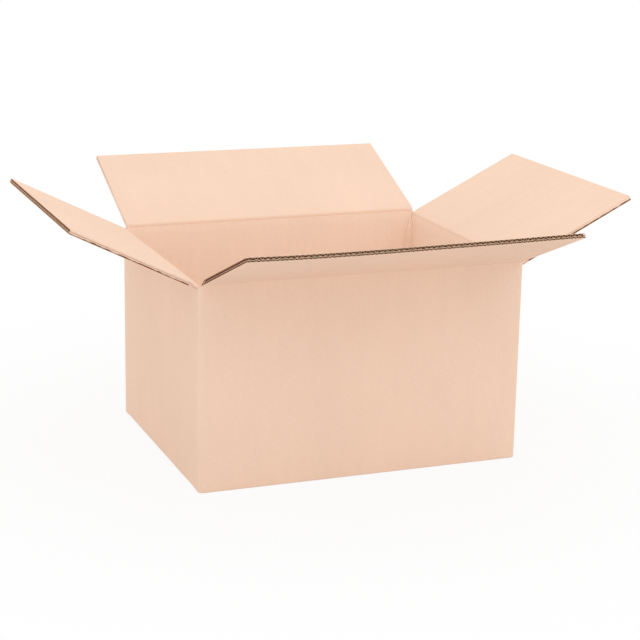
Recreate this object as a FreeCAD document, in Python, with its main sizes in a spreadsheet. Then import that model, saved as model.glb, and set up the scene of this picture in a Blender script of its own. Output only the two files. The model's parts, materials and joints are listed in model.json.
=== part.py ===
"""Open cardboard box with four hinged top flaps, folded from one sheet of double-wall board.

The box stands on its taped bottom with the origin under its middle. +X runs along the long
walls, +Y from the front wall to the back wall and +Z up. Lengths are in millimetres.

The sheet has two fluted papers between three flat ones. The four top flaps are separate parts,
because each one turns about its own crease. The walls, the glue lap and the four folded bottom
flaps are one part. Strips of tape close the bottom seam.
"""
import FreeCAD, Part
import math
import os
import re

import Sketcher

PARTS_FOLDER = "parts"
SHEET = "Sizes"

# Driving dimensions. Angles are in degrees.
DRIVING = {
    # Overall size of the folded box, outside, and the mean height of its top creases.
    "box_length": 500,
    "box_width": 400,
    "wall_height": 300,
    # The board: three flat papers, and two fluted papers with the clear height of each layer.
    "liner_thickness": 0.4,
    "flute_paper": 0.35,
    "outer_layer": 2.3,
    "inner_layer": 3.3,
    "outer_pitch": 6.5,
    "inner_pitch": 7.9,
    # Where a flute's tunnel ends, measured from the crease: there the board is pressed flat.
    "pressed_length": 14,
    # Top creases: the board stops this far short of the line that it folds about.
    "crease_gap": 0.25,
    # Room between two layers that lie on each other, and between the edges that meet.
    "ply_gap": 0.3,
    "meeting_gap": 0.5,
    "side_clearance": 0.5,
    # Half the width of the slot between the end of a long flap and the corner of the box.
    "slot_half": 5,
    # How far each pair of open flaps stands above level.
    "long_flap_rise": 22.5,
    "side_flap_rise": 26.5,
    # Rounding of the upright corners and of the bottom folds.
    "corner_radius": 7,
    "inside_radius": 2,
    "fold_radius": 3,
    # The side walls end this far above the underside, beside the outer bottom flaps.
    "side_lift": 2.5,
    # The glue lap inside the back right corner, tapered at both ends.
    "lap_width": 11,
    "lap_end_width": 6,
    "lap_taper": 20,
    "lap_end_gap": 1,
    # The tape along the bottom seam.
    "tape_width": 48,
    "tape_thickness": 0.1,
}

# Sizes that follow from the driving ones, each a formula of the sheet, in order.
DERIVED = {
    "board": "3 * liner_thickness + outer_layer + inner_layer",
    "half_length": "box_length / 2",
    "half_width": "box_width / 2",
    "flap_depth": "half_width - meeting_gap / 2",
    "ply_step": "board + ply_gap",
    "long_crease": "wall_height + ply_step / 2",
    "side_crease": "wall_height - ply_step / 2",
    "long_top": "long_crease - crease_gap",
    "side_top": "side_crease - crease_gap",
    "long_flap_width": "box_length - 2 * slot_half",
    "side_flap_width": "box_width - 2 * (board + side_clearance)",
    "side_mitre_run": "ply_step + inside_radius",
    "tunnel_length": "flap_depth - pressed_length",
    "outer_layer_low": "liner_thickness",
    "inner_layer_low": "2 * liner_thickness + outer_layer",
    "bottom_flap_end": "half_length - slot_half",
    "inner_bottom_side": "half_width - board - side_clearance",
    "inner_bottom_free": "half_length - flap_depth",
    "lap_top": "side_crease - board - lap_end_gap",
    "lap_bottom": "2 * board + ply_gap + lap_end_gap",
    "inside_half_length": "half_length - board",
    "inside_half_width": "half_width - board",
}

# The flutes of each layer in each kind of flap. A whole number of them fills the flap's width.
# The fluted paper's fold lines lie on the layer's two faces, and its thickness takes rise off
# the point of each three-sided tunnel and spread off each end of its base.
for flap in ("long", "side"):
    for layer in ("outer", "inner"):
        own = f"{flap}_{layer}"
        DERIVED[f"{own}_count"] = f"round({flap}_flap_width / {layer}_pitch)"
        DERIVED[f"{own}_half"] = f"{flap}_flap_width / {own}_count / 2"
        DERIVED[f"{own}_rise"] = f"flute_paper / 2 * sqrt(1 + ({layer}_layer / {own}_half)^2)"
        DERIVED[f"{own}_spread"] = f"{own}_rise * {own}_half / {layer}_layer"

# Each pair of top flaps: the flap that is drawn, its mirror image across the box, the turn of
# the first one's outward direction from +Y, and where the middle of its crease lies.
FLAP_PAIRS = {
    "long": ("front_flap", "back_flap", 180, ("0", "-half_width")),
    "side": ("left_flap", "right_flap", 90, ("-half_length", "0")),
}


def fill_sheet(doc):
    """Writes the driving sizes as plain numbers and the others as formulas, with aliases."""
    sheet = doc.addObject("Spreadsheet::Sheet", SHEET)
    cells = [(name, str(value)) for name, value in DRIVING.items()]
    cells += [(name, "=" + formula) for name, formula in DERIVED.items()]
    for row, (name, text) in enumerate(cells, start=1):
        sheet.set(f"A{row}", name)
        sheet.set(f"B{row}", text)
        sheet.setAlias(f"B{row}", name)
    doc.recompute()
    return sheet


def of_sheet(formula):
    """The formula with the sheet's name put before each of its sizes."""
    return re.sub(r"[a-z][a-z_]+", lambda word: f"{SHEET}.{word[0]}", formula)


def origin_plane(body, role):
    """One of the body's own origin planes."""
    return next(item for item in body.Origin.OriginFeatures if item.Role == role)


def add_sketch(body, name, role, offset=None):
    """A sketch on an origin plane of the body, moved along the plane's normal by a formula."""
    sketch = body.newObject("Sketcher::SketchObject", name)
    sketch.AttachmentSupport = [(origin_plane(body, role), "")]
    sketch.MapMode = "FlatFace"
    if offset:
        sketch.setExpression(".AttachmentOffset.Base.z", of_sheet(offset))
    return sketch


def bind_point(sketch, line, point, formulas):
    """Holds one end of a line at the two formulas, measured from the sketch's origin."""
    for kind, formula in zip(("DistanceX", "DistanceY"), formulas):
        index = sketch.addConstraint(Sketcher.Constraint(kind, -1, 1, line, point, 0.0))
        sketch.setExpression(f"Constraints[{index}]", of_sheet(formula))


def draw_outline(sketch, points):
    """A closed outline of straight lines through points, each given by two formulas.

    The lines start as a regular polygon, and their constraints then take them to their places.
    """
    first = sketch.GeometryCount
    count = len(points)
    turns = [2 * math.pi * i / count for i in range(count)]
    places = [FreeCAD.Vector(math.cos(turn), math.sin(turn), 0) for turn in turns]
    for i in range(count):
        sketch.addGeometry(Part.LineSegment(places[i], places[(i + 1) % count]), False)
    for i in range(count):
        following = first + (i + 1) % count
        sketch.addConstraint(Sketcher.Constraint("Coincident", first + i, 2, following, 1))
        bind_point(sketch, first + i, 1, points[i])


def draw_rectangle(sketch, low, high):
    """A closed rectangle from its low corner to its high corner, each given by two formulas."""
    draw_outline(sketch, [low, (high[0], low[1]), high, (low[0], high[1])])


def feature(body, kind, name, sketch, length, symmetric=False, reverse=False):
    """A Pad or Pocket of the sketch, with its length bound to a formula."""
    made = body.newObject(f"PartDesign::{kind}", name)
    made.Profile = sketch
    made.setExpression("Length", of_sheet(length))
    if symmetric:
        made.SideType = "Symmetric"
    made.Reversed = reverse
    body.Document.recompute()
    return made


def round_edges(body, name, edges, radius):
    """A Fillet of the named edges of the body's last feature."""
    base = body.Tip
    made = body.newObject("PartDesign::Fillet", name)
    made.Base = (base, edges)
    made.setExpression("Radius", of_sheet(radius))
    body.Document.recompute()
    return made


def edges_where(shape, wanted):
    """The names of the shape's edges whose middle passes a test."""
    return [f"Edge{number}" for number, edge in enumerate(shape.Edges, start=1)
            if wanted(edge.CenterOfMass)]


def make_wall_ring(body):
    """The four walls as one ring up to the long creases, with its corners and bottom rounded."""
    sizes = body.Document.getObject(SHEET)
    ring = add_sketch(body, "wall_outline", "XY_Plane")
    draw_rectangle(ring, ("-half_length", "-half_width"), ("half_length", "half_width"))
    draw_rectangle(ring, ("-inside_half_length", "-inside_half_width"),
                   ("inside_half_length", "inside_half_width"))
    walls = feature(body, "Pad", "walls", ring, "long_top")
    for name, length, width, radius in (
            ("outside_corners", sizes.half_length, sizes.half_width, "corner_radius"),
            ("inside_corners", sizes.inside_half_length, sizes.inside_half_width, "inside_radius")):
        uprights = edges_where(
            walls.Shape,
            lambda middle: math.isclose(abs(middle.x), length) and math.isclose(abs(middle.y), width))
        walls = round_edges(body, name, uprights, radius)
    halfway = sizes.board / 2
    underside = edges_where(
        walls.Shape,
        lambda middle: middle.z < halfway and (
            abs(middle.x) > sizes.half_length - halfway
            or abs(middle.y) > sizes.half_width - halfway))
    round_edges(body, "bottom_folds", underside, "fold_radius")


def make_lap(body):
    """The glue lap: the end of the right wall's board, glued inside the back wall."""
    lap = add_sketch(body, "lap_outline", "XZ_Plane", "-inside_half_width")
    edge = "inside_half_length"
    draw_outline(lap, [
        (edge, "lap_bottom"),
        (edge, "lap_top"),
        (f"{edge} - lap_end_width", "lap_top"),
        (f"{edge} - lap_width", "lap_top - lap_taper"),
        (f"{edge} - lap_width", "lap_bottom + lap_taper"),
        (f"{edge} - lap_end_width", "lap_bottom"),
    ])
    feature(body, "Pad", "glue_lap", lap, "board")


def make_bottom_flaps(body):
    """The folded bottom: two long flaps below, which meet at the seam, and two short ones above."""
    outer = add_sketch(body, "outer_bottom_outline", "XY_Plane")
    draw_rectangle(outer, ("-bottom_flap_end", "-inside_half_width - inside_radius"),
                   ("bottom_flap_end", "-meeting_gap / 2"))
    draw_rectangle(outer, ("-bottom_flap_end", "meeting_gap / 2"),
                   ("bottom_flap_end", "inside_half_width + inside_radius"))
    feature(body, "Pad", "outer_bottom_flaps", outer, "board")
    inner = add_sketch(body, "inner_bottom_outline", "XY_Plane", "board + ply_gap")
    draw_rectangle(inner, ("-inside_half_length - inside_radius", "-inner_bottom_side"),
                   ("-inner_bottom_free", "inner_bottom_side"))
    draw_rectangle(inner, ("inner_bottom_free", "-inner_bottom_side"),
                   ("inside_half_length + inside_radius", "inner_bottom_side"))
    feature(body, "Pad", "inner_bottom_flaps", inner, "board")


def lift_side_walls(body):
    """Ends the side walls a little above the underside, beside the outer bottom flaps' ends."""
    lift = add_sketch(body, "side_lift_cut", "XZ_Plane")
    draw_rectangle(lift, ("-half_length", "0"), ("-bottom_flap_end", "side_lift"))
    draw_rectangle(lift, ("bottom_flap_end", "0"), ("half_length", "side_lift"))
    feature(body, "Pocket", "side_folds", lift, "2 * (half_width - corner_radius)", symmetric=True)


def cut_top_creases(body):
    """Lowers the corners and side walls to the side creases and mitres all four walls inside."""
    slots = add_sketch(body, "slot_cut", "XZ_Plane")
    draw_rectangle(slots, ("-half_length", "side_top"), ("-bottom_flap_end", "long_crease"))
    draw_rectangle(slots, ("bottom_flap_end", "side_top"), ("half_length", "long_crease"))
    feature(body, "Pocket", "slots", slots, "2 * box_width", symmetric=True)
    lower = add_sketch(body, "side_top_cut", "YZ_Plane")
    draw_rectangle(lower, ("-inside_half_width", "side_top"), ("inside_half_width", "long_crease"))
    feature(body, "Pocket", "side_tops", lower, "2 * box_length", symmetric=True)
    cut_mitres(body, "long", "YZ_Plane", "half_width", "ply_step", "2 * box_length")
    cut_mitres(body, "side", "XZ_Plane", "half_length", "side_mitre_run", "2 * inside_half_width")


def cut_mitres(body, walls, plane, edge, run, length):
    """Slopes the tops of two facing walls at 45 degrees, down from their outer edges."""
    sketch = add_sketch(body, f"{walls}_mitre_cut", plane)
    top = f"{walls}_top"
    for outside, inside in ((f"-{edge}", f"-{edge} + {run}"), (edge, f"{edge} - {run}")):
        draw_outline(sketch, [
            (outside, top),
            (inside, f"{top} - {run}"),
            (inside, f"{top} + {run}"),
            (outside, f"{top} + {run}"),
        ])
    feature(body, "Pocket", f"{walls}_mitres", sketch, length, symmetric=True)


def make_box_body(doc):
    """The folded sheet without its top flaps."""
    body = doc.addObject("PartDesign::Body", "box_body")
    make_wall_ring(body)
    make_lap(body)
    make_bottom_flaps(body)
    lift_side_walls(body)
    cut_top_creases(body)
    body.setExpression(".Placement.Base.z", of_sheet("tape_thickness"))
    return body


def cut_flutes(body, flap, layer):
    """Cuts the tunnels of one fluted layer, on both sides of its zigzag paper."""
    own = f"{flap}_{layer}"
    low = f"{layer}_layer_low"
    high = f"{low} + {layer}_layer"
    start = f"-{flap}_flap_width / 2"
    sketch = add_sketch(body, f"{layer}_flute", "XZ_Plane", "-flap_depth")
    draw_outline(sketch, [
        (f"{start} - {own}_half + {own}_spread", high),
        (start, f"{low} + {own}_rise"),
        (f"{start} + {own}_half - {own}_spread", high),
    ])
    draw_outline(sketch, [
        (f"{start} + {own}_spread", low),
        (f"{start} + 2 * {own}_half - {own}_spread", low),
        (f"{start} + {own}_half", f"{high} - {own}_rise"),
    ])
    tunnel = feature(body, "Pocket", f"{layer}_tunnel", sketch, "tunnel_length", reverse=True)
    row = body.newObject("PartDesign::LinearPattern", f"{layer}_tunnels")
    row.Originals = [tunnel]
    row.Direction = (sketch, ["H_Axis"])
    row.Mode = "Spacing"
    row.setExpression("Offset", of_sheet(f"2 * {own}_half"))
    row.setExpression("Occurrences", of_sheet(f"{own}_count + 1"))
    body.Tip = row
    body.Document.recompute()


def make_flap(doc, name, flap, turn, crease_middle):
    """One top flap, drawn level with its crease at the origin, then raised and set in place."""
    body = doc.addObject("PartDesign::Body", name)
    section = add_sketch(body, "flap_section", "YZ_Plane")
    draw_outline(section, [
        ("crease_gap", "0"),
        ("flap_depth", "0"),
        ("flap_depth", "board"),
        ("crease_gap + board", "board"),
    ])
    feature(body, "Pad", "flap_board", section, f"{flap}_flap_width", symmetric=True)
    cut_flutes(body, flap, "outer")
    cut_flutes(body, flap, "inner")
    across, along = (of_sheet(formula) for formula in crease_middle)
    height = of_sheet(f"{flap}_crease + tape_thickness")
    rise = of_sheet(f"{flap}_flap_rise")
    body.setExpression(
        "Placement",
        f"placement(vector({across}; {along}; {height}); "
        f"rotation(vector(0; 0; 1); {turn}) * rotation(vector(1; 0; 0); {rise}))")
    doc.recompute()
    return body


def mirror_flap(doc, name, source, across):
    """The opposite flap of a pair, which is the first one's mirror image across the box."""
    mirrored = doc.addObject("Part::Mirroring", name)
    mirrored.Source = source
    mirrored.Base = FreeCAD.Vector(0, 0, 0)
    mirrored.Normal = across
    return mirrored


def make_tape(doc):
    """The tape along the bottom seam, on the outer bottom flaps' undersides."""
    tape = doc.addObject("Part::Box", "bottom_tape")
    for side, formula in (("Length", "long_flap_width"), ("Width", "tape_width"),
                          ("Height", "tape_thickness")):
        tape.setExpression(side, of_sheet(formula))
    tape.setExpression(".Placement.Base.x", of_sheet("-long_flap_width / 2"))
    tape.setExpression(".Placement.Base.y", of_sheet("-tape_width / 2"))
    return tape


def check_document(doc, parts):
    """Stops if a feature failed or if a part is not one valid solid."""
    for item in doc.Objects:
        if "Invalid" in item.State or "Error" in item.State:
            raise RuntimeError(f"{item.Name} failed: {item.State}")
    for part in parts:
        shape = part.Shape
        if shape.isNull() or not shape.isValid() or len(shape.Solids) != 1:
            raise RuntimeError(f"{part.Label} is not one valid solid")


def main():
    """Builds the parts, checks them and writes one file for each."""
    doc = FreeCAD.newDocument("open_box")
    fill_sheet(doc)
    parts = [make_box_body(doc), make_tape(doc)]
    for flap, (name, opposite, turn, crease_middle) in FLAP_PAIRS.items():
        first = make_flap(doc, name, flap, turn, crease_middle)
        across = FreeCAD.Vector(0, 1, 0) if flap == "long" else FreeCAD.Vector(1, 0, 0)
        parts += [first, mirror_flap(doc, opposite, first, across)]
    doc.recompute()
    check_document(doc, parts)
    os.makedirs(PARTS_FOLDER, exist_ok=True)
    for part in parts:
        part.Shape.exportStep(f"{PARTS_FOLDER}/{part.Label}.step")
        box = part.Shape.BoundBox
        print(f"{part.Label}: volume {part.Shape.Volume:.0f} mm3, "
              f"{box.XLength:.1f} x {box.YLength:.1f} x {box.ZLength:.1f} mm, "
              f"z from {box.ZMin:.2f}, {len(part.Shape.Faces)} faces")


main()
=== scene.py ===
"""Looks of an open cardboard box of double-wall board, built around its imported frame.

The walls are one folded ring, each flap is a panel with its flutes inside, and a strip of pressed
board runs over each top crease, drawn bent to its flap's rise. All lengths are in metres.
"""

import json
import logging
import math
from dataclasses import dataclass
from enum import Enum
from typing import Callable, Sequence

import bmesh
import bpy
from mathutils import Matrix, Vector


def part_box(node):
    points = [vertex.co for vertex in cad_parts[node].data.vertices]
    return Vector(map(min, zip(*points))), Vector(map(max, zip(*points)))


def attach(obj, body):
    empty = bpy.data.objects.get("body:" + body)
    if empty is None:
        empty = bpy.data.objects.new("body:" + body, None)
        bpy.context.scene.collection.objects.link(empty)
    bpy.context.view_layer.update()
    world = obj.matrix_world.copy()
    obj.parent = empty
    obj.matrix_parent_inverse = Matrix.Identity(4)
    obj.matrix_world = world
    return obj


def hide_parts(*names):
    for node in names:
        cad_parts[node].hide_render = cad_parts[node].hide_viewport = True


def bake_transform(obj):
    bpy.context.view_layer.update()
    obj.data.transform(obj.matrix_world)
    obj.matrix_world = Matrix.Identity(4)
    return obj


LOG = logging.getLogger("open_box")
MM = 0.001
# Places this near to each other count as the same: exact ones, and ones that a tool has moved.
HAIR = 0.01 * MM
CLOSE = 0.1 * MM
# The board stops this far short of the line that it folds about, and of the box's middle.
CREASE_GAP = 0.25 * MM
# Room between the end of a short flap and the inside of the wall beside it.
SIDE_CLEARANCE = 0.5 * MM
# How much of a face's normal has to lie along an axis: to face along it, or mostly along it.
ALONG = 0.9
MOSTLY_ALONG = 0.7

Test = Callable[[Vector], bool]
Colour = tuple[float, float, float]

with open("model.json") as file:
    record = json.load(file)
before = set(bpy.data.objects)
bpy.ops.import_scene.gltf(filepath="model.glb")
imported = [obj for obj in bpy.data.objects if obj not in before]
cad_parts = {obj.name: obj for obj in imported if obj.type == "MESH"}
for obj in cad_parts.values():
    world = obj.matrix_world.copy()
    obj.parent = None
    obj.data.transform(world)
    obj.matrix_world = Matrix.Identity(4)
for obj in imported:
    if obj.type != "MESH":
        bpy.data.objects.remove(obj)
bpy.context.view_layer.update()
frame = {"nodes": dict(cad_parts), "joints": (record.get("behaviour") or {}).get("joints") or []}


def linear(red: int, green: int, blue: int) -> Colour:
    """Turns a screen colour into a linear one.

    Args:
        red: The red channel, from 0 to 255.
        green: The green channel, from 0 to 255.
        blue: The blue channel, from 0 to 255.

    Returns:
        The three linear channels, from 0 to 1.
    """
    def channel(value: int) -> float:
        """One channel of the colour."""
        share = value / 255
        return share / 12.92 if share <= 0.04045 else ((share + 0.055) / 1.055) ** 2.4
    return channel(red), channel(green), channel(blue)


class Workpiece:
    """A mesh on the bench: the last primitive added, open for editing and picked by place."""

    def __init__(self, name: str) -> None:
        """Opens the primitive just added for editing, with all of it selected.

        Args:
            name: The new name of the object and of its mesh.
        """
        self.obj = bpy.context.object
        self.obj.name = self.obj.data.name = name
        bpy.ops.object.mode_set(mode="EDIT")
        bpy.ops.mesh.select_mode(type="VERT")
        bpy.ops.mesh.select_all(action="SELECT")

    def pick(self, wanted: Test) -> None:
        """Selects vertices.

        Args:
            wanted: The test that a vertex's place has to pass.
        """
        bpy.ops.mesh.select_mode(type="VERT")
        bpy.ops.mesh.select_all(action="DESELECT")
        mesh = bmesh.from_edit_mesh(self.obj.data)
        for vertex in mesh.verts:
            if wanted(vertex.co):
                vertex.select_set(True)
        mesh.select_flush_mode()
        bmesh.update_edit_mesh(self.obj.data)

    def pick_edges(self, wanted: Callable[[Vector, Vector], bool]) -> None:
        """Selects edges.

        Args:
            wanted: The test that the places of an edge's two ends have to pass.
        """
        bpy.ops.mesh.select_mode(type="EDGE")
        bpy.ops.mesh.select_all(action="DESELECT")
        mesh = bmesh.from_edit_mesh(self.obj.data)
        for edge in mesh.edges:
            if wanted(edge.verts[0].co, edge.verts[1].co):
                edge.select_set(True)
        bmesh.update_edit_mesh(self.obj.data)

    def pick_faces(self, wanted: Callable[[Vector, Vector], bool]) -> None:
        """Selects faces.

        Args:
            wanted: The test that a face's middle and normal have to pass.
        """
        bpy.ops.mesh.select_mode(type="FACE")
        bpy.ops.mesh.select_all(action="DESELECT")
        mesh = bmesh.from_edit_mesh(self.obj.data)
        mesh.normal_update()
        for face in mesh.faces:
            if wanted(face.calc_center_median(), face.normal):
                face.select_set(True)
        bmesh.update_edit_mesh(self.obj.data)

    def move(self, x: float = 0, y: float = 0, z: float = 0) -> None:
        """Moves what is selected."""
        bpy.ops.transform.translate(value=(x, y, z))

    def resize(self, x: float = 1, y: float = 1, z: float = 1) -> None:
        """Scales what is selected about the origin."""
        bpy.ops.transform.resize(value=(x, y, z), center_override=(0, 0, 0))

    def paint(self, material: bpy.types.Material) -> None:
        """Paints the selected faces.

        Args:
            material: The faces' material, which gets a slot if it has none.
        """
        slots = self.obj.data.materials
        if material.name not in slots:
            slots.append(material)
        self.obj.active_material_index = slots.find(material.name)
        bpy.ops.object.material_slot_assign()

    def done(self) -> bpy.types.Object:
        """Closes the edit, with all faces outwards.

        Returns:
            The edited object.
        """
        bpy.ops.mesh.select_mode(type="VERT")
        bpy.ops.mesh.select_all(action="SELECT")
        bpy.ops.mesh.normals_make_consistent(inside=False)
        bpy.ops.object.mode_set(mode="OBJECT")
        return self.obj


def deselect() -> None:
    """Clears the selection, so that the next tool acts on its own piece alone."""
    bpy.ops.object.select_all(action="DESELECT")


def select(objects: Sequence[bpy.types.Object]) -> None:
    """Selects objects alone.

    Args:
        objects: The objects, of which the first becomes the active one.
    """
    deselect()
    for obj in objects:
        obj.select_set(True)
    bpy.context.view_layer.objects.active = objects[0]


def apply_modifier(obj: bpy.types.Object, kind: str, **settings: object) -> None:
    """Adds a modifier and applies it.

    Args:
        obj: The object that it changes.
        kind: The modifier's type.
        **settings: The modifier's settings by name.
    """
    select([obj])
    modifier = obj.modifiers.new(kind.title(), kind)
    for name, value in settings.items():
        setattr(modifier, name, value)
    bpy.ops.object.modifier_apply(modifier=modifier.name)


def join(objects: Sequence[bpy.types.Object], name: str) -> bpy.types.Object:
    """Joins objects into the first of them.

    Args:
        objects: The objects, one or more.
        name: The new name of the joined object and of its mesh.

    Returns:
        The joined object.
    """
    select(objects)
    if len(objects) > 1:
        bpy.ops.object.join()
    joined = bpy.context.object
    joined.name = joined.data.name = name
    return joined


def place(obj: bpy.types.Object, matrix: Matrix) -> None:
    """Puts an object in its place, with the place in its mesh.

    Args:
        obj: The object, drawn about the origin.
        matrix: Where it goes.
    """
    select([obj])
    obj.matrix_world = matrix
    bpy.ops.object.transform_apply(location=True, rotation=True, scale=True)


def crumple() -> bpy.types.Texture:
    """Gives the soft unevenness of pressed paper.

    Returns:
        The texture, which is made once.
    """
    name = "paper_crumple"
    if name in bpy.data.textures:
        return bpy.data.textures[name]
    texture = bpy.data.textures.new(name, "CLOUDS")
    texture.noise_scale = 9 * MM
    texture.noise_depth = 1
    return texture


def slab(name: str, low: Sequence[float], high: Sequence[float]) -> Workpiece:
    """Adds a block.

    Args:
        name: The name of the new object.
        low: The block's lowest corner.
        high: The block's highest corner.

    Returns:
        The block, open for editing.
    """
    middle = [(a + b) / 2 for a, b in zip(low, high)]
    deselect()
    bpy.ops.mesh.primitive_cube_add(size=1, location=middle)
    bpy.context.object.scale = [b - a for a, b in zip(low, high)]
    bpy.ops.object.transform_apply(location=True, rotation=True, scale=True)
    return Workpiece(name)


def prism(name: str, section: Sequence[tuple[float, float]],
          rings: Sequence[float]) -> Workpiece:
    """Pushes a closed section along X, with a ring of points at each of the places given.

    Args:
        name: The name of the new object.
        section: The corners of the section, each its Y and its Z, in order round it.
        rings: The places along X of the two ends and of the rings between them.

    Returns:
        The prism, open for editing.
    """
    deselect()
    bpy.ops.mesh.primitive_circle_add(vertices=len(section), fill_type="NGON")
    piece = Workpiece(name)
    mesh = bmesh.from_edit_mesh(piece.obj.data)
    for vertex, (y, z) in zip(mesh.verts, section):
        vertex.co = (rings[0], y, z)
    bmesh.update_edit_mesh(piece.obj.data)
    for here, there in zip(rings, rings[1:]):
        bpy.ops.mesh.extrude_region_move(TRANSFORM_OT_translate={"value": (there - here, 0, 0)})
    return piece


class Flutes(Enum):
    """The direction that the faint lines over the flutes follow each other in."""

    ALONG_X = "X"
    ALONG_Y = "Y"


@dataclass(frozen=True)
class Kraft:
    """A flat kraft paper: soft clouds, short fibres and the faint lines of the flutes below.

    Lines and fibre are heights. Clouds and specks are shares of light, gained or lost. The three
    scales say how fine each noise is, and the two squeezes how long its marks are.
    """

    name: str
    colour: Colour
    flutes: Flutes = Flutes.ALONG_X
    pitch: float = 7.9 * MM
    lines: float = 0.06 * MM
    fibre: float = 0.03 * MM
    clouds: float = 0.02
    specks: float = 0.03
    cloud_scale: float = 5
    streak_scale: float = 45
    fibre_scale: float = 900
    noise_low: float = 0.3
    noise_high: float = 0.7
    streak_squeeze: float = 0.12
    fibre_squeeze: float = 0.15
    roughness: float = 0.82
    gloss: float = 0.25

    def make(self) -> bpy.types.Material:
        """Builds the finish as a material.

        Returns:
            The new material.
        """
        material = bpy.data.materials.new(self.name)
        material.use_nodes = True
        nodes, links = material.node_tree.nodes, material.node_tree.links
        shader = nodes["Principled BSDF"]
        shader.inputs["Roughness"].default_value = self.roughness
        shader.inputs["Specular IOR Level"].default_value = self.gloss
        place_on = nodes.new("ShaderNodeTexCoord").outputs["Object"]

        def noise(scale: float, detail: float,
                  stretch: tuple[float, float, float]) -> bpy.types.NodeSocket:
            """Spreads a noise over the piece.

            Args:
                scale: How fine the noise is.
                detail: How many finer noises lie over it.
                stretch: How much it is squeezed along X, Y and Z.

            Returns:
                The noise, from 0 to 1.
            """
            mapping = nodes.new("ShaderNodeMapping")
            mapping.inputs["Scale"].default_value = stretch
            links.new(place_on, mapping.inputs["Vector"])
            texture = nodes.new("ShaderNodeTexNoise")
            texture.inputs["Scale"].default_value = scale
            texture.inputs["Detail"].default_value = detail
            links.new(mapping.outputs["Vector"], texture.inputs["Vector"])
            return texture.outputs["Fac"]

        def shade(colour: Colour | bpy.types.NodeSocket, fac: bpy.types.NodeSocket,
                  depth: float) -> bpy.types.NodeSocket:
            """Makes a colour lighter and darker around its own value.

            Args:
                colour: The colour, or the socket that gives it.
                fac: The noise that it follows.
                depth: The share of light that it gains or loses.

            Returns:
                The shaded colour.
            """
            band = nodes.new("ShaderNodeMapRange")
            band.inputs["From Min"].default_value = self.noise_low
            band.inputs["From Max"].default_value = self.noise_high
            band.inputs["To Min"].default_value = 1 - depth
            band.inputs["To Max"].default_value = 1 + depth
            links.new(fac, band.inputs["Value"])
            scaled = nodes.new("ShaderNodeVectorMath")
            scaled.operation = "SCALE"
            if isinstance(colour, tuple):
                scaled.inputs[0].default_value = colour
            else:
                links.new(colour, scaled.inputs[0])
            links.new(band.outputs["Result"], scaled.inputs["Scale"])
            return scaled.outputs["Vector"]

        streak, fibre = self.streak_squeeze, self.fibre_squeeze
        across, along = (streak, 1.0, streak), (1.0, fibre, 1.0)
        if self.flutes is Flutes.ALONG_X:
            across, along = (1.0, streak, streak), (fibre, 1.0, 1.0)
        fibres = noise(self.fibre_scale, 3, along)
        tone = shade(self.colour, noise(self.cloud_scale, 2, (1, 1, 1)), self.clouds)
        tone = shade(tone, noise(self.streak_scale, 3, across), self.clouds / 2)
        tone = shade(tone, fibres, self.specks)
        links.new(tone, shader.inputs["Base Color"])

        wave = nodes.new("ShaderNodeTexWave")
        wave.bands_direction = self.flutes.value
        wave.inputs["Scale"].default_value = math.pi / (10 * self.pitch)
        wave.inputs["Distortion"].default_value = 0
        links.new(place_on, wave.inputs["Vector"])
        bump = nodes.new("ShaderNodeBump")
        bump.inputs["Distance"].default_value = self.lines
        links.new(wave.outputs["Fac"], bump.inputs["Height"])
        grain = nodes.new("ShaderNodeBump")
        grain.inputs["Distance"].default_value = self.fibre
        links.new(fibres, grain.inputs["Height"])
        links.new(bump.outputs["Normal"], grain.inputs["Normal"])
        links.new(grain.outputs["Normal"], shader.inputs["Normal"])
        return material


@dataclass(frozen=True)
class TapeFilm:
    """Thin clear brown tape film, with a soft gloss and fine creases."""

    name: str = "tape_film"
    colour: Colour = linear(196, 150, 104)
    mottle_scale: float = 60
    mottle_depth: float = 0.12
    creases: float = 0.1 * MM
    roughness: float = 0.3

    def make(self) -> bpy.types.Material:
        """Builds the finish as a material.

        Returns:
            The new material.
        """
        material = bpy.data.materials.new(self.name)
        material.use_nodes = True
        nodes, links = material.node_tree.nodes, material.node_tree.links
        shader = nodes["Principled BSDF"]
        shader.inputs["Roughness"].default_value = self.roughness
        place_on = nodes.new("ShaderNodeTexCoord").outputs["Object"]
        texture = nodes.new("ShaderNodeTexNoise")
        texture.inputs["Scale"].default_value = self.mottle_scale
        texture.inputs["Detail"].default_value = 4
        links.new(place_on, texture.inputs["Vector"])
        ramp = nodes.new("ShaderNodeValToRGB")
        dark = [channel * (1 - self.mottle_depth) for channel in self.colour]
        ramp.color_ramp.elements[0].color = (*dark, 1)
        ramp.color_ramp.elements[1].color = (*self.colour, 1)
        links.new(texture.outputs["Fac"], ramp.inputs["Fac"])
        links.new(ramp.outputs["Color"], shader.inputs["Base Color"])
        bump = nodes.new("ShaderNodeBump")
        bump.inputs["Distance"].default_value = self.creases
        links.new(texture.outputs["Fac"], bump.inputs["Height"])
        links.new(bump.outputs["Normal"], shader.inputs["Normal"])
        return material


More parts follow.
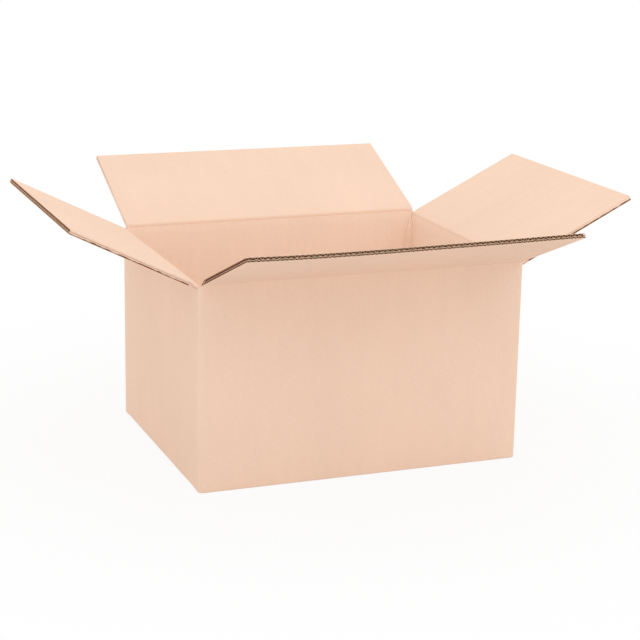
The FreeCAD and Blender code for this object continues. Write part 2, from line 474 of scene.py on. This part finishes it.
@dataclass(frozen=True)
class Papers:
    """The materials of the box's papers. The inside ones are painted lighter, as painted light for
    the inside of the box.
    """

    face_x: bpy.types.Material
    face_y: bpy.types.Material
    # The inside papers are the face paper painted lighter: painted light for the inside of the
    # box.
    inside_x: bpy.types.Material
    inside_y: bpy.types.Material
    # The flute brown below holds painted shade as well as the paper's own colour.
    core: bpy.types.Material
    edge: bpy.types.Material

    @classmethod
    def mixed(cls) -> "Papers":
        """Makes the papers, those of the faces and of the inside, painted lighter as painted
        light, in two turns.

        Returns:
            All of them.
        """
        # The inside colour is the face colour painted lighter: painted light that stands in for
        # light reaching the inside of the box.
        face, inside = linear(242, 210, 187), linear(251, 227, 208)
        return cls(
            face_x=Kraft("kraft_face_x", face).make(),
            face_y=Kraft("kraft_face_y", face, Flutes.ALONG_Y).make(),
            inside_x=Kraft("kraft_inside_x", inside).make(),
            inside_y=Kraft("kraft_inside_y", inside, Flutes.ALONG_Y).make(),
            # The flute paper's brown is partly its own colour and partly painted shade: it is
            # darkened so that the open flutes look dark.
            core=Kraft("fluted_core", linear(146, 92, 54), specks=0.15, lines=0).make(),
            edge=Kraft("cut_edge", linear(222, 178, 138), specks=0.2, lines=0).make(),
        )


@dataclass(frozen=True)
class Layer:
    """One fluted paper of the board: where it lies, and the run of its waves."""

    low: float
    height: float
    pitch: float
    phase: float
    steps: int = 12


@dataclass(frozen=True)
class Board:
    """Double-wall board: three flat papers with two fluted ones between them."""

    liner: float = 0.4 * MM
    flute_paper: float = 0.5 * MM
    outer_layer: float = 2.3 * MM
    inner_layer: float = 3.3 * MM
    outer_pitch: float = 6.5 * MM
    inner_pitch: float = 7.9 * MM

    @property
    def thickness(self) -> float:
        """The board's whole thickness."""
        return 3 * self.liner + self.outer_layer + self.inner_layer

    @property
    def liner_lows(self) -> tuple[float, float, float]:
        """How high each flat paper lies above the outer face."""
        return 0.0, self.liner + self.outer_layer, self.thickness - self.liner

    def layers(self, outer_phase: float, inner_phase: float) -> tuple[Layer, Layer]:
        """Lists the two fluted layers.

        Args:
            outer_phase: The point of the outer layer's wave at the panel's edge, in turns.
            inner_phase: The same point of the inner layer's wave.

        Returns:
            The outer layer and the inner one.
        """
        return (Layer(self.liner, self.outer_layer, self.outer_pitch, outer_phase),
                Layer(2 * self.liner + self.outer_layer, self.inner_layer, self.inner_pitch,
                      inner_phase))


@dataclass(frozen=True)
class FlutedPanel:
    """A panel of the board, drawn flat: X along the crease, Y to the free edge, Z inwards.

    It runs from start to end. Its flutes begin where the pressed board by the crease ends. Lips
    are how far in the slots along the side edges are closed, in the outer and the inner layer.
    Warp is how far the free edge bows at even steps along it, and wander how far the flutes
    stray from straight.
    """

    name: str
    width: float
    start: float
    end: float
    paper: bpy.types.Material
    papers: Papers
    board: Board = Board()
    outer_phase: float = 0.0
    inner_phase: float = 0.0
    pressed: float = 0.0
    lips: tuple[float, float] | None = None
    warp: tuple[float, ...] = ()
    # The inner paper's own material when given: the inside paper, painted lighter as painted light
    # for the inside of the box.
    inside: bpy.types.Material | None = None
    wander: float = 2.4 * MM
    lip_steps: int = 90
    lip_inset: float = 0.2 * MM
    root_inset: float = 1.2 * MM
    root_rise: float = 0.05 * MM

    def make(self) -> bpy.types.Object:
        """Builds the panel with all its papers.

        Returns:
            The panel as one object.
        """
        outer, middle, inner = self.board.liner_lows
        flutes_start = self.start + self.pressed
        sheets = [
            self.make_liner("outer", outer, self.start),
            self.make_liner("middle", middle, self.start + self.pressed / 2),
            self.make_liner("inner", inner, self.start + self.pressed),
        ]
        layers = self.board.layers(self.outer_phase, self.inner_phase)
        for layer in layers:
            sheets.append(self.make_flutes(layer, flutes_start))
        for layer, depth in zip(layers, self.lips or ()):
            sheets += [self.make_lip(layer, side, depth, flutes_start) for side in (-1, 1)]
        if self.pressed:
            sheets.append(self.make_root())
        panel = join(sheets, self.name)
        if self.warp:
            self.bend(panel)
        return panel

    def make_liner(self, which: str, low: float, start: float) -> bpy.types.Object:
        """Builds one flat paper with softened edges.

        Args:
            which: Which of the three papers it is.
            low: How high it lies above the outer face.
            start: Where it begins, from the crease.

        Returns:
            The paper.
        """
        sheet = slab(f"{self.name}_{which}", (-self.width / 2, start, low),
                     (self.width / 2, self.end, low + self.board.liner))
        sheet.paint(self.inside if self.inside and which == "inner" else self.paper)
        bpy.ops.mesh.bevel(offset=self.board.liner / 4, segments=2, affect="EDGES")
        if self.warp:
            sheet.pick_edges(lambda a, b: abs(a.x - b.x) > self.width / 2)
            bpy.ops.mesh.subdivide(number_cuts=3 * len(self.warp))
        return sheet.done()

    def bend(self, panel: bpy.types.Object) -> None:
        """Warps the panel as a board does, straight along its flutes and most at the free edge.

        Args:
            panel: The finished panel.
        """
        deselect()
        middle = (0, (self.start + self.end) / 2, self.board.thickness / 2)
        bpy.ops.object.add(type="LATTICE", location=middle)
        cage = bpy.context.object
        cage.scale = (self.width, self.end - self.start, self.board.thickness)
        cage.data.points_u, cage.data.points_v, cage.data.points_w = len(self.warp), 2, 2
        cage.data.interpolation_type_v = "KEY_LINEAR"
        for number, point in enumerate(cage.data.points):
            along, row = number % len(self.warp), number // len(self.warp) % 2
            point.co_deform.z += row * self.warp[along] / self.board.thickness
        apply_modifier(panel, "LATTICE", object=cage)
        bpy.data.objects.remove(cage)

    def make_flutes(self, layer: Layer, start: float) -> bpy.types.Object:
        """Shapes one wave, repeats it across the panel and gives the paper its thickness.

        Args:
            layer: The layer that the waves fill.
            start: Where they begin, from the crease.

        Returns:
            The fluted paper.
        """
        count = round(self.width / layer.pitch)
        pitch = self.width / count
        depth = self.end - start
        reach = (layer.height - self.board.flute_paper) / 2
        deselect()
        bpy.ops.mesh.primitive_grid_add(x_subdivisions=layer.steps, y_subdivisions=1, size=1)
        wave = Workpiece(f"{self.name}_flutes")
        wave.resize(pitch, depth)
        for step in range(layer.steps + 1):
            place_x = (step / layer.steps - 0.5) * pitch
            turn = 2 * math.pi * (step / layer.steps + layer.phase)
            wave.pick(lambda co: abs(co.x - place_x) < pitch / layer.steps / 4)
            wave.move(z=reach * math.cos(turn))
        bpy.ops.mesh.select_all(action="SELECT")
        wave.move(x=(pitch - self.width) / 2, y=start + depth / 2, z=layer.low + layer.height / 2)
        # The flute paper is painted darker than its own brown, as painted shade that makes the
        # open flutes look dark.
        wave.paint(self.papers.core)
        sheet = wave.done()
        apply_modifier(sheet, "ARRAY", count=count, use_relative_offset=False,
                       use_constant_offset=True, constant_offset_displace=(pitch, 0, 0),
                       use_merge_vertices=True, merge_threshold=HAIR)
        apply_modifier(sheet, "DISPLACE", texture=crumple(), direction="X",
                       texture_coords="LOCAL", mid_level=0.5, strength=self.wander)
        apply_modifier(sheet, "SOLIDIFY", thickness=self.board.flute_paper, offset=0,
                       use_even_offset=True)
        ends = Workpiece(f"{self.name}_flutes")
        ends.pick_faces(lambda middle, normal: abs(normal.y) > ALONG)
        ends.paint(self.papers.edge)
        return ends.done()

    def make_lip(self, layer: Layer, side: int, depth: float, start: float) -> bpy.types.Object:
        """Builds the crushed fluted paper that half closes a slot along a side edge.

        Args:
            layer: The layer whose slot is closed.
            side: The side of the panel, -1 or 1.
            depth: How far in the paper lies, at most.
            start: Where the slot begins, from the crease.

        Returns:
            The lip.
        """
        length = self.end - start
        deselect()
        bpy.ops.mesh.primitive_grid_add(x_subdivisions=1, y_subdivisions=self.lip_steps, size=1,
                                        rotation=(0, math.pi / 2, 0))
        bpy.ops.object.transform_apply(location=True, rotation=True, scale=True)
        lip = Workpiece(f"{self.name}_lip")
        lip.resize(1, length, layer.height)
        inwards = -side * depth
        lip.move(x=side * (self.width / 2 - self.lip_inset) + inwards / 2,
                 y=start + length / 2, z=layer.low + layer.height / 2)
        lip.paint(self.paper)
        sheet = lip.done()
        apply_modifier(sheet, "DISPLACE", texture=crumple(), direction="X",
                       texture_coords="LOCAL", mid_level=0.5, strength=inwards)
        apply_modifier(sheet, "SOLIDIFY", thickness=self.board.flute_paper, offset=0)
        return sheet

    def make_root(self) -> bpy.types.Object:
        """Builds the pressed middle of the board between the crease and the first open flutes.
        Without lips it is painted the darker flute brown: partly its own colour, partly painted
        shade.

        Returns:
            The pressed middle, a wedge that is thin at the crease.
        """
        half = self.width / 2 - self.root_inset
        top = self.board.liner_lows[2]
        root = slab(f"{self.name}_root", (-half, self.start, self.board.liner),
                    (half, self.start + self.pressed, top))
        # Without lips the wedge takes the darker flute brown: its own colour, darkened as painted
        # shade.
        root.paint(self.paper if self.lips else self.papers.core)
        root.pick(lambda co: co.y < self.start + self.pressed / 2 and co.z > top / 2)
        root.move(y=self.board.liner, z=self.board.liner - top + self.root_rise)
        return root.done()


@dataclass(frozen=True)
class CreaseStrip:
    """The pressed board over one top crease, drawn bent to its flap's rise.

    It is drawn in the plane across the crease, with the crease at the origin, Y outwards and Z
    up. Both sides of the fold have one profile: how deep the inner face lies from the outer one
    at each distance from the crease, in millimetres. Near its pinched ends the strip is pressed
    together, by the share that pinch gives at each distance from the end.
    """

    name: str
    width: float
    rise: float
    board: Board
    pinched_ends: tuple[int, ...]
    hub: float = 0.45 * MM
    profile: tuple[tuple[float, float], ...] = (
        (15.5, 6.74), (15.0, 6.82), (12.5, 6.82), (10.0, 6.77), (7.5, 6.66), (5.5, 6.52),
        (3.5, 6.38), (1.6, 6.28), (0.0, 6.24))
    pinched: tuple[float, ...] = (6.74, 6.80, 6.1, 5.3, 4.3, 3.4, 2.5, 1.8, 1.5)
    pinch: tuple[tuple[float, float], ...] = ((0.0, 0.7), (2.5, 0.5), (5.0, 0.25), (8.0, 0.05))
    stretch: float = 21.0
    under: tuple[tuple[float, float], ...] = ((15.5, 6.35), (0.9, 0.42))
    arc_steps: int = 7
    hub_steps: int = 4

    def on_wall(self, along: float, deep: float) -> tuple[float, float]:
        """A point on the wall's side, from its distance below the crease and its depth."""
        return -deep * MM, -along * MM

    def on_flap(self, along: float, deep: float) -> tuple[float, float]:
        """A point on the flap's side, from its distance along the flap and its depth."""
        c, s = math.cos(self.rise), math.sin(self.rise)
        return (along * c - deep * s) * MM, (along * s + deep * c) * MM

    def section(self, pinch: float = 0.0) -> list[tuple[float, float]]:
        """The closed section of the strip, round from the wall over the fold to the flap.

        Args:
            pinch: How far the fold is pressed together here, from 0 to 1.

        Returns:
            The Y and the Z of each corner of the section.
        """
        profile = [(along, deep + pinch * (pressed - deep))
                   for (along, deep), pressed in zip(self.profile, self.pinched)]
        radius = profile[-1][1] * MM
        points = [self.on_wall(*at) for at in profile]
        first, last = math.pi, math.pi / 2 + self.rise
        for step in range(1, self.arc_steps):
            turn = first + (last - first) * step / self.arc_steps
            points.append((radius * math.cos(turn), radius * math.sin(turn)))
        points += [self.on_flap(*at) for at in reversed(profile)]
        points += [self.on_flap(*at) for at in self.under]
        first, last = self.rise, -math.pi / 2
        for step in range(self.hub_steps + 1):
            turn = first + (last - first) * step / self.hub_steps
            points.append((self.hub * math.cos(turn), self.hub * math.sin(turn)))
        points += [self.on_wall(*at) for at in reversed(self.under)]
        return points

    def make(self, paper: bpy.types.Material, inside: bpy.types.Material,
             core: bpy.types.Material) -> bpy.types.Object:
        """Builds the strip.

        Args:
            paper: The paper of the flap and of the outside.
            inside: The paper of the wall's inner face, painted lighter than the face paper as
                painted light for the inside of the box.
            core: What the cut ends show.

        Returns:
            The strip.
        """
        half = self.width / 2
        ends = [half - inwards * MM for inwards, _ in self.pinch]
        count = round(2 * ends[-1] / (self.stretch * MM))
        between = [ends[-1] * (2 * step / count - 1) for step in range(1, count)]
        strip = prism(self.name, self.section(),
                      [-x for x in ends] + between + list(reversed(ends)))
        mesh = bmesh.from_edit_mesh(strip.obj.data)
        full = self.section()
        for (_, pinch), end in zip(self.pinch, ends):
            pressed = self.section(pinch)
            for side in self.pinched_ends:
                ring = [vertex for vertex in mesh.verts
                        if abs(vertex.co.x - side * end) < CLOSE]
                for vertex in ring:
                    corner = min(range(len(full)),
                                 key=lambda number: math.dist(full[number], vertex.co.yz))
                    vertex.co.yz = pressed[corner]
        bmesh.update_edit_mesh(strip.obj.data)
        bpy.ops.mesh.select_all(action="SELECT")
        strip.paint(paper)
        # The wall's side of the fold takes the inside paper, painted lighter as painted light for
        # the inside of the box.
        inner_side, fold_top = -5 * MM, 0.5 * MM
        strip.pick_faces(lambda middle, normal: middle.y < inner_side and middle.z < fold_top)
        strip.paint(inside)
        # The cut ends take the darker flute brown where the flap has no lips: partly the paper's
        # own colour, partly painted shade.
        strip.pick_faces(lambda middle, normal: abs(normal.x) > ALONG)
        strip.paint(core)
        return strip.done()


@dataclass(frozen=True)
class TopFlap:
    """One top flap with the strip over its crease.

    Turn is the flap's direction about Z from the back one's, and rise its angle above level.
    bend_reach, how far the strip bends on both sides of the crease in millimetres, is not used.
    """

    body: str
    joint: str
    turn: float
    width: float
    depth: float
    rise: float
    along: Flutes
    outer_phase: float
    inner_phase: float
    pressed: float = 14 * MM
    lips: tuple[float, float] | None = None
    warp: tuple[float, ...] = ()
    pinched_ends: tuple[int, ...] = ()
    bend_reach: float = 7.0
    smooth: float = math.radians(40)
    board: Board = Board()

    def hinge(self) -> Vector:
        """The point that the flap turns about, from the frame's joint."""
        joint = next(item for item in frame["joints"] if item["name"] == self.joint)
        return Vector(joint["pos_m"])

    def build(self, papers: Papers) -> None:
        """Makes the flap's panel and its strip, and hands the panel to its body.

        Args:
            papers: The box's papers.
        """
        # The inside paper is painted lighter than the face paper, as painted light for the inside
        # of the box.
        paper, inside = papers.face_y, papers.inside_y
        if self.along is Flutes.ALONG_X:
            paper, inside = papers.face_x, papers.inside_x
        panel = FlutedPanel(f"{self.body}_board", self.width, CREASE_GAP, self.depth, paper,
                            papers, self.board, self.outer_phase, self.inner_phase, self.pressed,
                            self.lips, self.warp)
        at_crease = Matrix.Translation(self.hinge()) @ Matrix.Rotation(self.turn, 4, "Z")
        flap = panel.make()
        place(flap, at_crease @ Matrix.Rotation(self.rise, 4, "X"))
        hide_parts(self.body)
        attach(flap, self.body)
        LOG.info("%s: %d faces", flap.name, len(flap.data.polygons))

        fold = CreaseStrip(f"{self.body}_crease_strip", self.width, self.rise, self.board,
                           self.pinched_ends)
        strip = fold.make(paper, inside, paper if self.lips else papers.core)
        select([strip])
        bpy.ops.object.shade_smooth_by_angle(angle=self.smooth)
        place(strip, at_crease)
        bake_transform(strip)
        LOG.info("%s: %d faces", strip.name, len(strip.data.polygons))


@dataclass(frozen=True)
class BoxBody:
    """The folded walls and bottom, from the frame's own sizes.

    The long walls end at long_top and the side walls at side_top. Rows are the heights, in
    millimetres, at which the walls have a row of points between their two ends.
    """

    half_x: float
    half_y: float
    underside: float
    long_top: float
    side_top: float
    slot_half: float = 5 * MM
    corner: float = 7 * MM
    fold: float = 1.5 * MM
    side_lift: float = 1.5 * MM
    slope: float = 14 * MM
    ply_gap: float = 0.3 * MM
    lap: float = 5.6 * MM
    lap_width: float = 9 * MM
    lap_end_width: float = 4 * MM
    lap_taper: float = 20 * MM
    lap_end_gap: float = 1 * MM
    corner_steps: int = 8
    wall_cuts: int = 15
    ramp_power: float = 1.5
    smooth: float = math.radians(20)
    board: Board = Board()
    rows: tuple[float, ...] = (6, 18, 45, 85, 125, 165, 205, 245, 272)

    def make_shell(self) -> bpy.types.Object:
        """Pushes the rounded outline up through all the rows and gives the board its thickness.

        Returns:
            The ring of walls, level at its top.
        """
        deselect()
        bpy.ops.mesh.primitive_plane_add(size=2)
        shell = Workpiece("walls")
        shell.resize(self.half_x, self.half_y)
        shell.move(z=self.underside)
        bpy.ops.mesh.bevel(offset=self.corner, offset_type="OFFSET", segments=self.corner_steps,
                           affect="VERTICES")
        bpy.ops.mesh.select_all(action="SELECT")
        bpy.ops.mesh.delete(type="ONLY_FACE")
        shell.pick_edges(lambda a, b: (a - b).length > self.half_y)
        bpy.ops.mesh.subdivide(number_cuts=self.wall_cuts)
        bpy.ops.mesh.select_all(action="SELECT")
        heights = [self.underside] + [row * MM for row in self.rows] + [self.side_top]
        for low, high in zip(heights, heights[1:]):
            bpy.ops.mesh.extrude_edges_move(TRANSFORM_OT_translate={"value": (0, 0, high - low)})
        shell = shell.done()
        apply_modifier(shell, "SOLIDIFY", thickness=self.board.thickness, offset=-1,
                       use_even_offset=True)
        return shell

    def on_outside(self, co: Vector) -> bool:
        """Tells whether a point lies on the outside of the ring of walls, corners included.

        Args:
            co: The point.

        Returns:
            Whether it lies there.
        """
        x, y = self.half_x - self.corner, self.half_y - self.corner
        over = math.hypot(max(abs(co.x) - x, 0), max(abs(co.y) - y, 0))
        return over > self.corner - CLOSE

    def make_walls(self) -> Workpiece:
        """Shapes the top and the bottom of the ring of walls.

        Returns:
            The ring, open for editing.
        """
        thick = self.board.thickness
        select([self.make_shell()])
        walls = Workpiece("walls")
        straight_x, straight_y = self.half_x - self.corner, self.half_y - self.corner
        inner_y, inner_x = self.half_y - thick, self.half_x - thick
        walls.pick_faces(lambda middle, normal: normal.z > ALONG
                         and abs(middle.z - self.side_top) < CLOSE and abs(middle.y) > inner_y)
        bpy.ops.mesh.extrude_region_move(
            TRANSFORM_OT_translate={"value": (0, 0, self.long_top - self.side_top)})
        half_step = 0.5 / self.corner_steps
        for step in range(1, self.corner_steps):
            share = step / self.corner_steps
            low, high = (straight_x + self.corner * math.sin(math.pi / 2 * part)
                         for part in (share - half_step, share + half_step))
            walls.pick(lambda co: co.z > self.long_top - HAIR and low < abs(co.x) < high)
            walls.move(z=(self.side_top - self.long_top) * share ** self.ramp_power)
        walls.pick(lambda co: co.z > self.long_top - HAIR and abs(co.y) < straight_y + HAIR)
        walls.move(z=self.side_top - self.long_top)
        bpy.ops.mesh.select_all(action="SELECT")
        bpy.ops.mesh.remove_doubles(threshold=HAIR)
        inner_round = 3 * CLOSE
        walls.pick(lambda co: co.z > self.side_top - HAIR and abs(co.x) < inner_x + CLOSE
                   and abs(abs(co.y) - inner_y) < inner_round)
        walls.move(z=-self.slope)
        walls.pick(lambda co: abs(co.z - self.side_top) < HAIR and abs(co.y) < straight_y - CLOSE
                   and abs(abs(co.x) - inner_x) < CLOSE)
        walls.move(z=-self.slope)

        walls.pick_edges(lambda a, b: max(a.z, b.z) < self.underside + HAIR
                         and self.on_outside(a) and self.on_outside(b))
        bpy.ops.mesh.bevel(offset=self.fold, segments=6, affect="EDGES")
        walls.pick(lambda co: co.z < self.underside + self.fold + HAIR
                   and abs(co.y) < straight_y - CLOSE)
        walls.move(z=self.side_lift)
        return walls

    def build(self, papers: Papers) -> None:
        """Makes the walls, the glue lap and the bottom flaps as one piece.

        Args:
            papers: The box's papers.
        """
        walls = self.make_walls()
        walls.pick_faces(lambda middle, normal: True)
        walls.paint(papers.face_x)
        walls.pick_faces(lambda middle, normal: abs(normal.x) > MOSTLY_ALONG)
        walls.paint(papers.face_y)
        # The inner faces take the inside papers, painted lighter as painted light for the inside
        # of the box.
        walls.pick_faces(lambda middle, normal: middle.y * normal.y < -0.1)
        walls.paint(papers.inside_x)
        walls.pick_faces(lambda middle, normal: middle.x * normal.x < -0.1)
        walls.paint(papers.inside_y)
        ring = walls.done()
        parts = [ring, self.make_lap(papers), *self.make_bottom(papers)]
        body = join(parts, "folded_walls_and_bottom")
        bpy.ops.object.shade_smooth_by_angle(angle=self.smooth)
        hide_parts("box_body")
        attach(body, "box")
        LOG.info("%s: %d faces", body.name, len(body.data.polygons))

    def make_lap(self, papers: Papers) -> bpy.types.Object:
        """Builds the glue lap inside the back right corner, tapered at both ends.

        Args:
            papers: The box's papers.

        Returns:
            The lap.
        """
        thick = self.board.thickness
        edge, back = self.half_x - thick, self.half_y - thick
        bottom = self.underside + 2 * thick + self.ply_gap + self.lap_end_gap
        top = self.side_top - thick - self.lap_end_gap
        end, free = self.lap_end_width - edge, self.lap_width - edge
        outline = [(-edge, bottom), (-edge, top), (end, top), (free, top - self.lap_taper),
                   (free, bottom + self.lap_taper), (end, bottom)]
        lap = prism("glue_lap", outline, (-self.lap / 2, self.lap / 2))
        bpy.ops.mesh.select_all(action="SELECT")
        # The lap takes the inside paper, painted lighter as painted light for the inside of the
        # box.
        lap.paint(papers.inside_x)
        bpy.ops.mesh.bevel(offset=self.lap / 8, segments=3, affect="EDGES")
        made = lap.done()
        place(made, Matrix.Translation((0, back - self.lap / 2, 0)) @ Matrix.Rotation(
            math.pi / 2, 4, "Z"))
        return made

    def make_bottom(self, papers: Papers) -> list[bpy.types.Object]:
        """Builds the two outer and the two inner bottom flaps, laid flat.

        Args:
            papers: The box's papers.

        Returns:
            The four flaps.
        """
        thick = self.board.thickness
        reach = self.half_y - CREASE_GAP
        made = []
        # The flaps' inner faces take the inside papers, painted lighter as painted light for the
        # inside of the box.
        for side, turn in (("front", 0), ("back", math.pi)):
            flap = FlutedPanel(f"{side}_bottom", 2 * (self.half_x - self.slot_half), thick, reach,
                               papers.face_x, papers, self.board, 0.5, 0.0,
                               inside=papers.inside_x).make()
            where = Matrix.Rotation(turn, 4, "Z") @ Matrix.Translation(
                (0, -self.half_y, self.underside))
            place(flap, where)
            made.append(flap)
        for side, turn in (("left", -math.pi / 2), ("right", math.pi / 2)):
            flap = FlutedPanel(f"{side}_bottom", 2 * (self.half_y - thick - SIDE_CLEARANCE), thick,
                               reach, papers.face_y, papers, self.board, 0.2, 0.7,
                               inside=papers.inside_y).make()
            where = Matrix.Rotation(turn, 4, "Z") @ Matrix.Translation(
                (0, -self.half_x, self.underside + thick + self.ply_gap))
            place(flap, where)
            made.append(flap)
        return made


@dataclass(frozen=True)
class Studio:
    """The pale floor, the soft light and the camera.

    Focal and image are in the picture's own points. The floor shows a glow to the camera alone,
    which grows from glow_least under the box to all of it at glow_far.
    """

    focal: float = 1789
    image: float = 640
    yaw: float = math.radians(21.36)
    pitch: float = math.radians(15.05)
    roll: float = math.radians(-1.07)
    eye: tuple[float, float, float] = (-0.962, -2.479, 0.899)
    ambient: float = 1.05
    floor_size: float = 60
    floor_tone: float = 0.85
    floor_roughness: float = 0.9
    glow_least: float = 0.88
    glow_near: float = 0.35
    glow_far: float = 1.1
    key_place: tuple[float, float, float] = (0.5, -2.0, 2.7)
    key_aim: tuple[float, float, float] = (0, 0, 0.2)
    key_size: float = 1.6
    key_power: float = 5

    def make_camera(self) -> None:
        """Sets the camera where the photograph was taken from."""
        data = bpy.data.cameras.new("camera")
        data.sensor_width = 36
        data.lens = self.focal / self.image * data.sensor_width
        data.clip_start, data.clip_end = 0.05, 50
        camera = bpy.data.objects.new("camera", data)
        bpy.context.scene.collection.objects.link(camera)
        forward = Vector((math.sin(self.yaw) * math.cos(self.pitch),
                          math.cos(self.yaw) * math.cos(self.pitch), -math.sin(self.pitch)))
        level = Vector((math.cos(self.yaw), -math.sin(self.yaw), 0))
        down = forward.cross(level)
        right = math.cos(self.roll) * level + math.sin(self.roll) * down
        up = right.cross(forward)
        turn = Matrix((right, up, -forward)).transposed()
        camera.matrix_world = Matrix.Translation(self.eye) @ turn.to_4x4()
        bpy.context.scene.camera = camera

    def make_floor(self) -> None:
        """Lays a pale floor that keeps the box's shadow."""
        deselect()
        bpy.ops.mesh.primitive_plane_add(size=self.floor_size)
        floor = bpy.context.object
        floor.name = "floor"
        material = bpy.data.materials.new("pale_floor")
        material.use_nodes = True
        nodes, links = material.node_tree.nodes, material.node_tree.links
        shader = nodes["Principled BSDF"]
        shader.inputs["Base Color"].default_value = (*[self.floor_tone] * 3, 1)
        shader.inputs["Roughness"].default_value = self.floor_roughness
        glow = nodes.new("ShaderNodeEmission")
        distance = nodes.new("ShaderNodeVectorMath")
        distance.operation = "LENGTH"
        links.new(nodes.new("ShaderNodeTexCoord").outputs["Object"], distance.inputs[0])
        fade = nodes.new("ShaderNodeMapRange")
        fade.interpolation_type = "SMOOTHSTEP"
        fade.inputs["From Min"].default_value = self.glow_near
        fade.inputs["From Max"].default_value = self.glow_far
        fade.inputs["To Min"].default_value = self.glow_least
        links.new(distance.outputs["Value"], fade.inputs["Value"])
        share = nodes.new("ShaderNodeMath")
        share.operation = "MULTIPLY"
        links.new(fade.outputs["Result"], share.inputs[1])
        links.new(self.seen_ray(nodes, links), share.inputs[0])
        mix = nodes.new("ShaderNodeMixShader")
        links.new(share.outputs["Value"], mix.inputs["Fac"])
        links.new(shader.outputs["BSDF"], mix.inputs[1])
        links.new(glow.outputs["Emission"], mix.inputs[2])
        links.new(mix.outputs["Shader"], nodes["Material Output"].inputs["Surface"])
        floor.data.materials.append(material)

    def seen_ray(self, nodes: bpy.types.Nodes,
                 links: bpy.types.NodeLinks) -> bpy.types.NodeSocket:
        """Tells rays that come from the camera, straight or by way of something shiny or clear.

        Args:
            nodes: The nodes of the material or the world.
            links: The links between them.

        Returns:
            The socket that is 1 for such a ray and 0 for others.
        """
        path = nodes.new("ShaderNodeLightPath")
        total = path.outputs["Is Camera Ray"]
        for kind in ("Is Glossy Ray", "Is Transmission Ray"):
            add = nodes.new("ShaderNodeMath")
            add.use_clamp = True
            links.new(total, add.inputs[0])
            links.new(path.outputs[kind], add.inputs[1])
            total = add.outputs["Value"]
        return total

    def make_world(self) -> None:
        """Sets an even white surround, plain white where the camera sees it."""
        world = bpy.data.worlds.new("surround")
        bpy.context.scene.world = world
        world.use_nodes = True
        nodes, links = world.node_tree.nodes, world.node_tree.links
        light = nodes["Background"]
        light.inputs["Color"].default_value = (1, 1, 1, 1)
        light.inputs["Strength"].default_value = self.ambient
        seen = nodes.new("ShaderNodeBackground")
        seen.inputs["Color"].default_value = (1, 1, 1, 1)
        mix = nodes.new("ShaderNodeMixShader")
        links.new(self.seen_ray(nodes, links), mix.inputs["Fac"])
        links.new(light.outputs["Background"], mix.inputs[1])
        links.new(seen.outputs["Background"], mix.inputs[2])
        links.new(mix.outputs["Shader"], nodes["World Output"].inputs["Surface"])

    def make_lamp(self) -> None:
        """Hangs the square soft light in front of the box and above it."""
        data = bpy.data.lights.new("key_light", "AREA")
        data.size = self.key_size
        data.energy = self.key_power
        lamp = bpy.data.objects.new("key_light", data)
        bpy.context.scene.collection.objects.link(lamp)
        lamp.location = self.key_place
        aim = Vector(self.key_aim) - Vector(self.key_place)
        lamp.rotation_euler = aim.to_track_quat("-Z", "Y").to_euler()

    def build(self) -> None:
        """Makes the whole studio."""
        scene = bpy.context.scene
        scene.view_settings.view_transform = "Standard"
        self.make_camera()
        self.make_floor()
        self.make_world()
        self.make_lamp()


def wall_sizes() -> BoxBody:
    """Reads the walls' sizes from the frame.

    Returns:
        The walls and bottom in the frame's own sizes.
    """
    low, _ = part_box("box_body")
    creases = {item["name"]: item["pos_m"] for item in frame["joints"]}
    return BoxBody(
        half_x=abs(creases["left_flap_crease"][0]),
        half_y=abs(creases["front_flap_crease"][1]),
        underside=low.z,
        long_top=creases["front_flap_crease"][2] - CREASE_GAP,
        side_top=creases["left_flap_crease"][2] - CREASE_GAP,
    )


def main() -> None:
    """Builds the studio and every piece in order."""
    logging.basicConfig(level=logging.INFO, format="%(name)s %(message)s")
    Studio().build()
    papers = Papers.mixed()
    body = wall_sizes()
    body.build(papers)
    depth = body.half_y - CREASE_GAP
    long_width = 2 * (body.half_x - body.slot_half)
    side_width = 2 * (body.half_y - body.board.thickness - SIDE_CLEARANCE)
    long_rise, side_rise = math.radians(22.5), math.radians(26.5)
    droop = tuple(-part * MM for part in (0.5, 1.3, 2.2, 2.8, 3.5, 4.0, 4.1, 3.8, 2.3))
    flaps = (
        TopFlap("front_flap", "front_flap_crease", math.pi, long_width, depth, long_rise,
                Flutes.ALONG_X, 0.5, 0.25, warp=droop, pinched_ends=(-1, 1)),
        TopFlap("back_flap", "back_flap_crease", 0, long_width, depth, long_rise,
                Flutes.ALONG_X, 0.5, 0.0, lips=(0.1 * MM, 0.04 * MM)),
        TopFlap("left_flap", "left_flap_crease", math.pi / 2, side_width, depth, side_rise,
                Flutes.ALONG_Y, 0.5, 0.3, lips=(3.0 * MM, 0.04 * MM), pinched_ends=(-1,)),
        TopFlap("right_flap", "right_flap_crease", -math.pi / 2, side_width, depth, side_rise,
                Flutes.ALONG_Y, 0.5, 0.3, lips=(3.0 * MM, 0.04 * MM), pinched_ends=(1,)),
    )
    for flap in flaps:
        flap.build(papers)
    tape = frame["nodes"]["bottom_tape"]
    tape.data.materials.clear()
    tape.data.materials.append(TapeFilm().make())
    LOG.info("%s: %d faces", tape.name, len(tape.data.polygons))


if __name__ == "__main__":
    main()
